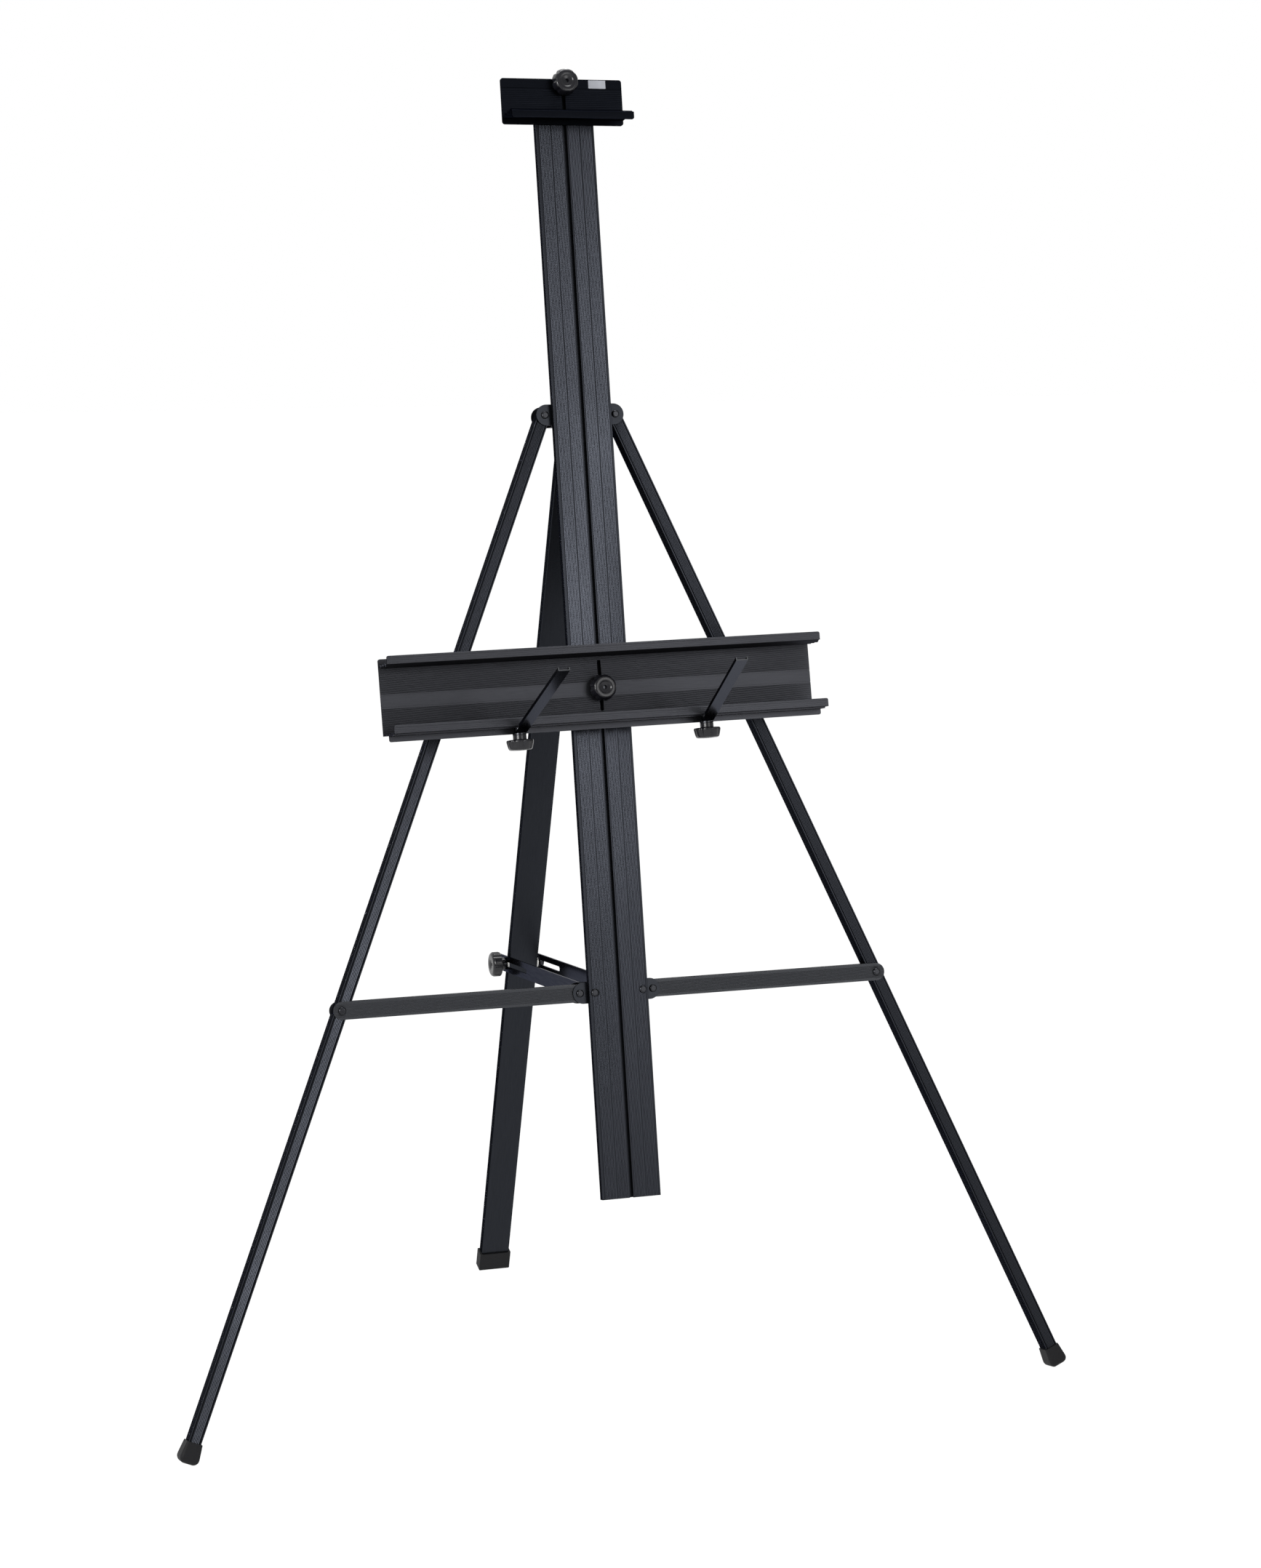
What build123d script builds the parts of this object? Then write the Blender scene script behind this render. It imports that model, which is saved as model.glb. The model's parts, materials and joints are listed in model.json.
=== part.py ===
"""Folding aluminium studio easel: a leaning slotted mast on two front legs and one rear leg.

Everything is first built in the mast's own frame and then leaned back into place.
Mast frame, in millimetres: X runs to the right, Y runs up the mast, and Z stands out of
the mast's front face. Y = 0 is the level of the crossbar pivots. The names s and n below
are distances along that Y and that Z.

The finished easel stands on Z = 0 with +Z up. Its front faces -Y, and its origin is on the
floor under the middle of its box.
"""
import os
from math import atan2, cos, degrees, hypot, radians, sin

from build123d import *

# ---------------------------------------------------------------- placing of the mast
MAST_LEAN = 10.8           # degrees back from upright
PIVOT_LEVEL = 523.6        # height above the floor of the crossbar level on the mast's face
SETBACK = -211.5           # the same point along Y, so that the box's middle is Y = 0

# ---------------------------------------------------------------- mast
MAST_WIDTH = 76.2
MAST_DEPTH = 9.5
MAST_BOTTOM = -257.0
MAST_TOP = 1142.3
MAST_WALL = 1.8
REAR_LIP = 1.6             # thickness of the two lips that edge the mast's open back
REAR_GAP = 44.0            # opening between those lips
SLOT_WIDTH = 4.6           # front T-slot, its cavity and the wall around it
CAVITY_WIDTH = 12.0
CAVITY_DEPTH = 4.2
BOSS_WALL = 1.5
EDGE_GROOVE = 35.2         # the line that parts the smooth border from the ribbed field
GROOVE_SIZE = 0.8
MAST_RIVET_X = (-31.5, 31.5)

# ---------------------------------------------------------------- front legs and crossbars
PIVOT_X = 47.8             # crossbar pivots on the lower bracket
HEAD_PIVOT_X = 46.2        # leg pivots on the sliding head
HEAD_LEVEL = 722.8         # leg pivots, above the crossbar level
CROSSBAR_REACH = 302.5     # pivot to pivot along a crossbar
LEG_WIDTH = 16.0
LEG_DEPTH = 19.4
LEG_FRONT = -13.2          # front face of both legs
LEG_LENGTH = 1349.34       # from the head pivot to the end of the tube
LEG_WALL = 1.6
FOOT_LENGTH = 26.0
CROSSBAR_HEIGHT = 22.0
SHEET = 1.5                # sheet of crossbars and lower bracket
SIDE_PLAY = 0.4            # between a leg and the crossbar that straddles it
EAR_RADIUS = 13.2
EAR_INSET = 4.3            # lower bracket: from a pivot in to the centre of the rounded end
HEAD_EAR_INSET = 2.2       # the same on the sliding head
RIVET_RADIUS = 2.5
RIVET_HEAD_RADIUS = 4.8
RIVET_HEAD_HEIGHT = 2.6
HINGE_PLAY = 0.05          # radial play of a rivet in a part that turns on it

# ---------------------------------------------------------------- rear leg and strut
REAR_HINGE_S = 707.0
REAR_HINGE_N = -43.2
REAR_SPREAD = 29.7         # degrees between the rear leg and the mast
REAR_WIDTH = 39.6
REAR_DEPTH = 13.0
REAR_LENGTH = 1269.25      # from its hinge to the end of the tube
REAR_FOOT_LENGTH = 27.0
STRUT_PIVOT_S = -4.0
STRUT_PIVOT_N = -48.0
STRUT_HEIGHT = 22.0
STRUT_THICK = 2.0
STRUT_INNER = 22.0         # inner faces of the two strut bars, either side of the middle
STRUT_TAIL = 30.0          # bar behind the clamp bolt
STRUT_SLOT = 102.0         # travel of the clamp bolt's slot, centre to centre
BOLT_ALONG_LEG = 775.0     # from the rear hinge down to the clamp bolt
CLAMP_BOLT_RADIUS = 3.0

# ---------------------------------------------------------------- tray
TRAY_WIDTH = 562.0
TRAY_SHIFT = -1.0           # the tray sits a little left of its bolt
TRAY_BOTTOM = 334.7
TRAY_TOP = 429.3
PANEL_BACK = 0.3
PANEL_FRONT = 3.3
TOP_FLOOR_LEVEL = 419.7    # underside of the upper ledge
TOP_REACH = 48.0
BOTTOM_REACH = 59.5
FLOOR_THICK = 1.6
LIP_THICK = 2.4
LIP_HEIGHT = 10.4
SKIRT_N = 29.0
SKIRT_DROP = 8.6
STEP_REACH = 47.4          # the floor is thicker between the skirt and here
STEP_DROP = 1.7
TRAY_KNOB_LEVEL = 377.8
TRAY_SLOT = (351.5, 410.6)  # centres of the slot's two ends
TRAY_TILT = 0.9            # degrees; one bolt holds the tray, and its right end sits higher
CORNER_RADIUS = 2.5        # corners of panels, lips and skirt
BAND_EDGES = (369.9, 384.3)
ARM_BOLT_X = 121.6
ARM_BOLT_N = 44.0

# ---------------------------------------------------------------- folded grip of a ledge
FOLD_DEPTH = 2.8
FOLD_HALF = 5.2
FOLD_PLACES = (15.0, 27.0, 39.0)         # distances of the folds from the mast's face

# ---------------------------------------------------------------- support arms
ARM_WIDTH = 14.5
ARM_SHEET = 1.3
ARM_FLANGE = 4.4
ARM_DROP = 8.1             # underside of the arm's flat end, below the ledge
ARM_TAB = 8.0              # from the bolt to the bend
ARM_LENGTH = 207.0         # from the bend to the tip
ARM_BARE = 19.0            # the flanges start this far from the bend, clear of the ledge
ARM_PLAY = 0.3
ARM_SPACER_RADIUS = 6.0
ARM_WASHER_THICK = 2.0
ARM_RISE = 17.0            # degrees above the ledge
ARM_TURN = {"left": 0.0, "right": 6.0}   # degrees towards the left at rest

# ---------------------------------------------------------------- top clamp
CLAMP_WIDTH = 158.2
CLAMP_SHIFT = -2.0
CLAMP_TILT = -0.35         # degrees; its left end sits higher
CLAMP_BOTTOM = 1085.3
CLAMP_TOP = 1143.2
CLAMP_FLOOR = 1091.7       # underside of the clamp's ledge
CLAMP_REACH = 47.0
CLAMP_LIP_HEIGHT = 9.6
CLAMP_KNOB_LEVEL = 1137.0
CLAMP_SLOT_LOW = 1106.0

# ---------------------------------------------------------------- knobs and T-bolts
KNOB_RADIUS = 16.8
KNOB_BODY = 13.0
KNOB_LOBES = 8
KNOB_NECK = 5.5
KNOB_NECK_RADIUS = 8.5
KNOB_DISH_RADIUS = 7.8
KNOB_DISH = 1.6            # depth of the dished middle of its face
T_BOLT_RADIUS = 2.1
T_HEAD = 10.5
T_HEAD_THICK = 3.2
THREAD_DEPTH = 13.0        # how far a bolt stands inside its knob
WASHER_RADIUS = 9.0
WASHER_THICK = 1.2

# ---------------------------------------------------------------- worked-out places
TRAY_SPAN = (TRAY_SHIFT - TRAY_WIDTH / 2, TRAY_SHIFT + TRAY_WIDTH / 2)
CLAMP_SPAN = (CLAMP_SHIFT - CLAMP_WIDTH / 2, CLAMP_SHIFT + CLAMP_WIDTH / 2)
LEG_MID = LEG_FRONT - LEG_DEPTH / 2
LEG_OUT = PIVOT_X + CROSSBAR_REACH - HEAD_PIVOT_X
LEG_SPREAD = degrees(atan2(LEG_OUT, HEAD_LEVEL))
LEG_TO_CROSSBAR = hypot(LEG_OUT, HEAD_LEVEL)
BAR_FRONT = LEG_FRONT + SIDE_PLAY + SHEET
BAR_BACK = LEG_FRONT - LEG_DEPTH - SIDE_PLAY - SHEET
BRACKET_BACK = BAR_BACK - 0.3 - SHEET
HEAD_FRONT = -10.3
HEAD_SHEET = 2.4
HEAD_BACK = -35.1
HINGE_LUG = REAR_WIDTH / 2 + 0.6
SHOE_X = 17.0
BOLT_S = REAR_HINGE_S - BOLT_ALONG_LEG * cos(radians(REAR_SPREAD))
BOLT_N = REAR_HINGE_N - BOLT_ALONG_LEG * sin(radians(REAR_SPREAD))
STRUT_LENGTH = hypot(BOLT_S - STRUT_PIVOT_S, BOLT_N - STRUT_PIVOT_N)
STRUT_RISE = degrees(atan2(BOLT_S - STRUT_PIVOT_S, STRUT_PIVOT_N - BOLT_N))


# ================================================================ small building blocks
def block(x, s, n):
    """A box between two corners, given as (low, high) pairs."""
    size = [high - low for low, high in (x, s, n)]
    centre = [(high + low) / 2 for low, high in (x, s, n)]
    return Pos(*centre) * Box(*size)


def disc(x, s, n, radius):
    """A round bar that stands out of the mast, between the two depths in n."""
    return Pos(x, s, (n[0] + n[1]) / 2) * Cylinder(radius, abs(n[1] - n[0]))


def cross_pin(x, s, n, radius):
    """A round bar that lies across the easel, between the two places in x."""
    return Pos((x[0] + x[1]) / 2, s, n) * Rot(0, 90, 0) * Cylinder(radius, abs(x[1] - x[0]))


def long_plate(x, s, n, radius):
    """A plate with half-round ends, centred on pivots at both values of x."""
    ends = disc(x[0], s, n, radius) + disc(x[1], s, n, radius)
    return ends + block(x, (s - radius, s + radius), n)


def dome(height, radius):
    """A low round rivet head that stands on Z = 0."""
    head = Cylinder(radius, height, align=(Align.CENTER, Align.CENTER, Align.MIN))
    rim = head.edges().filter_by(GeomType.CIRCLE).sort_by(Axis.Z)[-1]
    return fillet(rim, height * 0.8)


def rivet(length, radius=RIVET_RADIUS, back_head=True):
    """A rivet along Z with its shank from -length to 0 and a dome at one or both ends."""
    body = Cylinder(radius, length, align=(Align.CENTER, Align.CENTER, Align.MAX))
    body += dome(RIVET_HEAD_HEIGHT, RIVET_HEAD_RADIUS)
    if back_head:
        body += Pos(0, 0, -length) * Rot(180, 0, 0) * dome(RIVET_HEAD_HEIGHT, RIVET_HEAD_RADIUS)
    return body


def mirrored(shape):
    """The same part for the other side of the easel."""
    return mirror(shape, about=Plane.YZ)


def knob():
    """A lobed clamping knob on its axis Z: neck from Z = 0, then the gripped body."""
    top = KNOB_NECK + KNOB_BODY
    flute = Cylinder(5.0, top * 3)
    body = Pos(0, 0, KNOB_NECK + KNOB_BODY / 2) * Cylinder(KNOB_RADIUS, KNOB_BODY)
    rims = body.edges().filter_by(GeomType.CIRCLE).sort_by(Axis.Z)
    body = fillet(rims[0], 2.0)
    rims = body.edges().filter_by(GeomType.CIRCLE).sort_by(Axis.Z)
    body = fillet(rims[-1], 4.5)
    for i in range(KNOB_LOBES):
        body -= Rot(0, 0, i * 360 / KNOB_LOBES) * Pos(KNOB_RADIUS + 3.6, 0, 0) * flute
    body += Pos(0, 0, KNOB_NECK / 2 + 0.5) * Cylinder(KNOB_NECK_RADIUS, KNOB_NECK + 1.0)
    body -= Pos(0, 0, top - KNOB_DISH / 2) * Cone(3.5, KNOB_DISH_RADIUS, KNOB_DISH)
    body -= Pos(0, 0, top) * Cylinder(2.3, 10.0)
    bore_radius = T_BOLT_RADIUS + HINGE_PLAY
    return body - Pos(0, 0, THREAD_DEPTH / 2) * Cylinder(bore_radius, THREAD_DEPTH + 0.6)


def washer(radius=WASHER_RADIUS, thick=WASHER_THICK, bore=T_BOLT_RADIUS):
    """A flat washer that stands on Z = 0."""
    ring = Cylinder(radius, thick) - Cylinder(bore, thick)
    return Pos(0, 0, thick / 2) * ring


# ================================================================ mast and lower bracket
def mast():
    """The slotted extrusion: a front T-slot, side walls and a back that is open but for lips."""
    half = MAST_WIDTH / 2
    length = (MAST_BOTTOM, MAST_TOP)
    boss_half = CAVITY_WIDTH / 2 + BOSS_WALL
    boss_back = -MAST_WALL - CAVITY_DEPTH - BOSS_WALL
    pocket_back = -MAST_DEPTH + REAR_LIP
    body = block((-half, half), length, (-MAST_DEPTH, 0))
    body -= block((-half + MAST_WALL, half - MAST_WALL), length, (pocket_back, -MAST_WALL))
    body -= block((-REAR_GAP / 2, REAR_GAP / 2), length, (-MAST_DEPTH, pocket_back))
    body += block((-boss_half, boss_half), length, (boss_back, -MAST_WALL))
    cavity_half = CAVITY_WIDTH / 2
    body -= block((-cavity_half, cavity_half), length, (-MAST_WALL - CAVITY_DEPTH, -MAST_WALL))
    body -= block((-SLOT_WIDTH / 2, SLOT_WIDTH / 2), length, (-MAST_WALL, 0))
    for x in (-EDGE_GROOVE, EDGE_GROOVE):
        body -= block((x - GROOVE_SIZE / 2, x + GROOVE_SIZE / 2), length, (-GROOVE_SIZE / 2, 0))
    for x in MAST_RIVET_X:
        body -= disc(x, 0, (-MAST_DEPTH, 0), RIVET_RADIUS)
    return body


def mast_rivet(x):
    """A rivet that holds the lower bracket to the mast."""
    return Pos(x, 0, 0) * rivet(MAST_DEPTH + SHEET)


def lower_bracket():
    """Two ear plates joined by a lower flange, with a lug behind each ear for the strut."""
    ends = (EAR_INSET - PIVOT_X, PIVOT_X - EAR_INSET)
    front = long_plate(ends, 0, (-MAST_DEPTH - SHEET, -MAST_DEPTH), EAR_RADIUS)
    back = long_plate(ends, 0, (BRACKET_BACK, BRACKET_BACK + SHEET), EAR_RADIUS)
    flange = block((-34, 34), (-EAR_RADIUS, -EAR_RADIUS + 1.8), (BRACKET_BACK, -MAST_DEPTH))
    body = front + back + flange
    for side in (-1, 1):
        body += strut_lug(side)
        body -= disc(side * PIVOT_X, 0, (BRACKET_BACK - 5, 0), RIVET_RADIUS)
        body -= disc(MAST_RIVET_X[0] * side, 0, (-MAST_DEPTH - SHEET, 0), RIVET_RADIUS)
    return body


def strut_lug(side):
    """The lug that one strut bar hangs on, just outside the bar."""
    inner = STRUT_INNER + STRUT_THICK + 0.3
    x = sorted((side * inner, side * (inner + STRUT_THICK)))
    lug = cross_pin(x, STRUT_PIVOT_S, STRUT_PIVOT_N, 9.0)
    lug += block(x, (STRUT_PIVOT_S - 9, STRUT_PIVOT_S + 9), (STRUT_PIVOT_N, BRACKET_BACK))
    return lug - cross_pin(x, STRUT_PIVOT_S, STRUT_PIVOT_N, RIVET_RADIUS)


def crossbar_pivot():
    """The rivet through both ears of the lower bracket and a crossbar's inner end."""
    length = -MAST_DEPTH - BRACKET_BACK
    return Pos(PIVOT_X, 0, -MAST_DEPTH) * rivet(length)


def strut_pivot():
    """The rivet through one lug and one strut bar, flush on its inner side."""
    inner = STRUT_INNER - 1.2
    outer = STRUT_INNER + 2 * STRUT_THICK + 0.3
    pin = cross_pin((STRUT_INNER, outer), STRUT_PIVOT_S, STRUT_PIVOT_N, RIVET_RADIUS)
    pin += cross_pin((inner, STRUT_INNER), STRUT_PIVOT_S, STRUT_PIVOT_N, RIVET_HEAD_RADIUS)
    head = Rot(0, 90, 0) * dome(RIVET_HEAD_HEIGHT, RIVET_HEAD_RADIUS)
    return pin + Pos(outer, STRUT_PIVOT_S, STRUT_PIVOT_N) * head


# ================================================================ sliding head
def head_bracket():
    """The carriage behind the mast: front and back ears for the legs, and rear hinge lugs."""
    front_n = (HEAD_FRONT - HEAD_SHEET, HEAD_FRONT)
    back_n = (HEAD_BACK, HEAD_BACK + HEAD_SHEET)
    ends = (HEAD_EAR_INSET - HEAD_PIVOT_X, HEAD_PIVOT_X - HEAD_EAR_INSET)
    body = long_plate(ends, HEAD_LEVEL, front_n, EAR_RADIUS)
    body += long_plate(ends, HEAD_LEVEL, back_n, EAR_RADIUS)
    low = HEAD_LEVEL - EAR_RADIUS
    body += block((-35.5, 35.5), (low, low + 2.0), (HEAD_BACK, HEAD_FRONT))
    for side in (-1, 1):
        body += hinge_lug(side)
        body -= disc(side * HEAD_PIVOT_X, HEAD_LEVEL, front_n, RIVET_RADIUS)
        body -= disc(side * HEAD_PIVOT_X, HEAD_LEVEL, back_n, RIVET_RADIUS)
        body -= disc(side * SHOE_X, HEAD_LEVEL, front_n, RIVET_RADIUS)
    return body


def hinge_lug(side):
    """One of the two lugs that the rear leg's top swings between."""
    x = sorted((side * HINGE_LUG, side * (HINGE_LUG + 2.2)))
    lug = cross_pin(x, REAR_HINGE_S, REAR_HINGE_N, 8.5)
    lug += block(x, (REAR_HINGE_S - 8.5, REAR_HINGE_S + 17), (REAR_HINGE_N, HEAD_BACK + 1.0))
    return lug - cross_pin(x, REAR_HINGE_S, REAR_HINGE_N, RIVET_RADIUS)


def leg_ear_rivet(n_face, outward):
    """A short rivet set in one ear of the head; it stops short of the leg's tube."""
    turn = 0 if outward > 0 else 180
    place = Pos(HEAD_PIVOT_X, HEAD_LEVEL, n_face) * Rot(turn, 0, 0)
    return place * rivet(HEAD_SHEET, back_head=False)


def rear_hinge_rivet():
    """A short rivet set in one rear hinge lug."""
    pin = rivet(2.2, back_head=False)
    return Pos(HINGE_LUG + 2.2, REAR_HINGE_S, REAR_HINGE_N) * Rot(0, 90, 0) * pin


def head_shoe():
    """A nylon shoe that runs behind one rear lip of the mast and carries the head."""
    back = -MAST_DEPTH + REAR_LIP
    gap = 0.4
    tall = (HEAD_LEVEL - 12, HEAD_LEVEL + 12)
    shoe = block((9.5, MAST_WIDTH / 2 - MAST_WALL - gap), tall, (back + gap, -MAST_WALL - gap))
    shoe += block((9.5, REAR_GAP / 2 - gap), tall, (HEAD_FRONT, back + gap))
    return shoe - disc(SHOE_X, HEAD_LEVEL, (HEAD_FRONT, HEAD_FRONT + 5.5), RIVET_RADIUS)


def head_screw():
    """The screw that holds a shoe to the head."""
    screw = rivet(HEAD_SHEET + 5.5, back_head=False)
    return Pos(SHOE_X, HEAD_LEVEL, HEAD_FRONT - HEAD_SHEET) * Rot(180, 0, 0) * screw


# ================================================================ front legs
def place_leg(shape):
    """Put a part drawn along a leg, with the head pivot at its origin, on the right leg."""
    return Pos(HEAD_PIVOT_X, HEAD_LEVEL, 0) * Rot(0, 0, LEG_SPREAD) * shape


def leg_tube():
    """A rectangular tube with a rounded top and a dark groove down each side."""
    half = LEG_WIDTH / 2
    back = LEG_FRONT - LEG_DEPTH
    outer = block((-half, half), (-LEG_LENGTH, 0), (back, LEG_FRONT))
    outer += disc(0, 0, (back, LEG_FRONT), half)
    inner_half = half - LEG_WALL
    hollow = block((-inner_half, inner_half), (-LEG_LENGTH, -14.0),
                   (back + LEG_WALL, LEG_FRONT - LEG_WALL))
    tube = outer - hollow
    for side in (-1, 1):
        x = sorted((side * half, side * (half - 0.8)))
        tube -= block(x, (-LEG_LENGTH, half), (LEG_FRONT - 6.4, LEG_FRONT - 4.6))
        x = sorted((side * (half - 1.3), side * (half - 1.9)))
        tube -= block(x, (-LEG_LENGTH, half), (LEG_FRONT - 0.4, LEG_FRONT))
    return tube - disc(0, -LEG_TO_CROSSBAR, (back, LEG_FRONT), RIVET_RADIUS + HINGE_PLAY)


def leg_foot():
    """A flared rubber boot with a domed sole, closed below the end of the tube."""
    top = -LEG_LENGTH + 22.0
    base = Plane(origin=(0, top, LEG_MID), x_dir=(1, 0, 0), z_dir=(0, -1, 0))
    collar = Rectangle(LEG_WIDTH + 4.0, LEG_DEPTH + 4.0)
    sole = Rectangle(LEG_WIDTH + 8.0, LEG_DEPTH + 8.0)
    boot = loft([base * fillet(collar.vertices(), 2.5),
                 base.offset(FOOT_LENGTH - 9) * fillet(sole.vertices(), 4.0)])
    dome_sole = extrude(base.offset(FOOT_LENGTH - 9) * fillet(sole.vertices(), 4.0), 9)
    rim = dome_sole.faces().sort_by(Axis.Y)[0].edges()
    boot += fillet(rim, 7.0)
    half = LEG_WIDTH / 2
    back = LEG_FRONT - LEG_DEPTH
    return boot - block((-half, half), (-LEG_LENGTH, top), (back, LEG_FRONT))


def crossbar_rivet():
    """The rivet through a leg and the ears of the crossbar that straddles it."""
    return Pos(0, -LEG_TO_CROSSBAR, BAR_FRONT) * rivet(BAR_FRONT - BAR_BACK)


# ================================================================ crossbars
def crossbar():
    """A channel, open below, that straddles its leg at the outer end."""
    half = CROSSBAR_HEIGHT / 2
    reach = CROSSBAR_REACH
    depth = (BAR_BACK, BAR_FRONT)
    bar = long_plate((0, reach), 0, depth, half)
    bar -= block((-half, reach + half), (-half - 1, half - SHEET),
                 (BAR_BACK + SHEET, BAR_FRONT - SHEET))
    bar -= block((reach - 14.5, reach + half), (0, half), (BAR_BACK + SHEET, BAR_FRONT - SHEET))
    for s in (-half + 2.2, half - 2.2):
        bar -= block((0, reach), (s - 0.3, s + 0.3), (BAR_FRONT - 0.4, BAR_FRONT))
    bar -= disc(0, 0, depth, RIVET_RADIUS + HINGE_PLAY)
    bar -= disc(reach, 0, depth, RIVET_RADIUS)
    return Pos(PIVOT_X, 0, 0) * bar


# ================================================================ rear leg
def place_rear(shape):
    """Put a part drawn along the rear leg, with its hinge at the origin, in place."""
    return Pos(0, REAR_HINGE_S, REAR_HINGE_N) * Rot(REAR_SPREAD, 0, 0) * shape


def rear_tube():
    """A flat rectangular tube with a rounded top."""
    half = REAR_WIDTH / 2
    deep = REAR_DEPTH / 2
    tube = block((-half, half), (-REAR_LENGTH, 0), (-deep, deep))
    tube += cross_pin((-half, half), 0, 0, deep)
    edges = tube.edges().filter_by(Axis.Y)
    tube = chamfer(edges, 0.6)
    wall = 1.5
    tube -= block((-half + wall, half - wall), (-REAR_LENGTH, -10), (-deep + wall, deep - wall))
    return tube - cross_pin((-half, half), -BOLT_ALONG_LEG, 0, CLAMP_BOLT_RADIUS + HINGE_PLAY)


def rear_foot():
    """A rectangular rubber boot on the end of the rear leg."""
    half = REAR_WIDTH / 2
    deep = REAR_DEPTH / 2
    top = -REAR_LENGTH + 20.0
    boot = block((-half - 2.5, half + 2.5), (top - REAR_FOOT_LENGTH, top), (-deep - 2.5, deep + 2.5))
    boot = fillet(boot.edges().filter_by(Axis.Y), 1.5)
    boot = fillet(boot.faces().sort_by(Axis.Y)[0].edges(), 1.4)
    return boot - block((-half, half), (-REAR_LENGTH, top), (-deep, deep))


def strut_spacer():
    """A nylon washer between the rear leg and one strut bar."""
    ring = washer(7.5, STRUT_INNER - REAR_WIDTH / 2 - 0.3, CLAMP_BOLT_RADIUS + HINGE_PLAY)
    return Pos(REAR_WIDTH / 2, -BOLT_ALONG_LEG, 0) * Rot(0, 90, 0) * ring


# ================================================================ slotted strut
def place_strut(shape):
    """Put a part drawn backwards along -Z from the strut's pivot in place."""
    return Pos(0, STRUT_PIVOT_S, STRUT_PIVOT_N) * Rot(STRUT_RISE, 0, 0) * shape


def strut_bar():
    """A flat bar with a long slot near its rear end for the clamp bolt."""
    half = STRUT_HEIGHT / 2
    x = (STRUT_INNER, STRUT_INNER + STRUT_THICK)
    end = -STRUT_LENGTH - STRUT_TAIL
    bar = block(x, (-half, half), (end, 0))
    bar = chamfer(bar.edges().filter_by(Axis.X).sort_by(Axis.Z)[:2], 4.0)
    bar += cross_pin(x, 0, 0, half)
    bar -= cross_pin(x, 0, 0, RIVET_RADIUS + HINGE_PLAY)
    gap = CLAMP_BOLT_RADIUS + 0.3
    first = -STRUT_LENGTH - 2.0
    bar -= cross_pin(x, 0, first, gap) + cross_pin(x, 0, first + STRUT_SLOT, gap)
    return bar - block(x, (-gap, gap), (first, first + STRUT_SLOT))


def clamp_bolt():
    """The cross bolt with its nut on the right and its seating washer on the left."""
    outer = STRUT_INNER + STRUT_THICK + 0.3
    bolt = cross_pin((-outer - 13.0, outer + 5.0), 0, 0, CLAMP_BOLT_RADIUS)
    across = extrude(RegularPolygon(6.0, 6), 4.5)
    bolt += Pos(outer + 1.2, 0, 0) * Rot(0, 90, 0) * across
    bolt += cross_pin((outer, outer + 1.2), 0, 0, 7.5)
    bolt += cross_pin((-outer - 1.2, -outer), 0, 0, 7.5)
    return Pos(0, 0, -STRUT_LENGTH) * bolt


def strut_knob():
    """The knob on the clamp bolt's left end."""
    outer = STRUT_INNER + STRUT_THICK + 0.3 + 1.2 + 0.3
    grip = knob() - Pos(0, 0, 7.5) * Cylinder(CLAMP_BOLT_RADIUS + HINGE_PLAY, 15.6)
    return Pos(-outer, 0, -STRUT_LENGTH) * Rot(0, -90, 0) * grip


# ================================================================ tray
def tray_panel():
    """The back plate of the tray, with two grooves around a smooth band and a bolt slot."""
    panel = block(TRAY_SPAN, (TRAY_BOTTOM, TRAY_TOP), (PANEL_BACK, PANEL_FRONT))
    panel = fillet(panel.edges().filter_by(Axis.Z).sort_by(Axis.Y)[-2:], CORNER_RADIUS)
    for level in BAND_EDGES:
        panel -= block(TRAY_SPAN, (level - 0.5, level + 0.5), (PANEL_FRONT - 0.8, PANEL_FRONT))
    gap = T_BOLT_RADIUS + 0.25
    panel -= block((-gap, gap), TRAY_SLOT, (PANEL_BACK, PANEL_FRONT))
    for level in TRAY_SLOT:
        panel -= disc(0, level, (PANEL_BACK, PANEL_FRONT), gap)
    return panel


def lip(span, level, reach, lip_height):
    """The upright lip along a ledge's front edge, with rounded ends and edges."""
    bar = block(span, (level, level + lip_height), (reach - LIP_THICK, reach))
    outline = fillet(bar.edges().filter_by(Axis.Z).sort_by(Axis.Y)[-2:], CORNER_RADIUS)
    return fillet(bar.edges().filter_by(Axis.X).sort_by(Axis.Z)[-2:], 0.9) & outline


def folded_floor(span, level, reach):
    """A sheet floor with three V folds that hang below it and grip the edge of a canvas."""
    path = [(PANEL_FRONT, level)]
    for n in FOLD_PLACES:
        path += [(n - FOLD_HALF, level), (n, level - FOLD_DEPTH), (n + FOLD_HALF, level)]
    path.append((reach - LIP_THICK / 2, level))
    upper = [(n, s + FLOOR_THICK) for n, s in reversed(path)]
    points = [(s, n) for n, s in path + upper]
    section = Plane.YZ * Polyline(*points, close=True)
    middle = (span[0] + span[1]) / 2
    return Pos(middle, 0, 0) * extrude(make_face(section), (span[1] - span[0]) / 2, both=True)


def tray_top_ledge():
    """The ledge that the canvas stands on."""
    shelf = folded_floor(TRAY_SPAN, TOP_FLOOR_LEVEL, TOP_REACH)
    return shelf + lip(TRAY_SPAN, TOP_FLOOR_LEVEL, TOP_REACH, LIP_HEIGHT)


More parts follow.
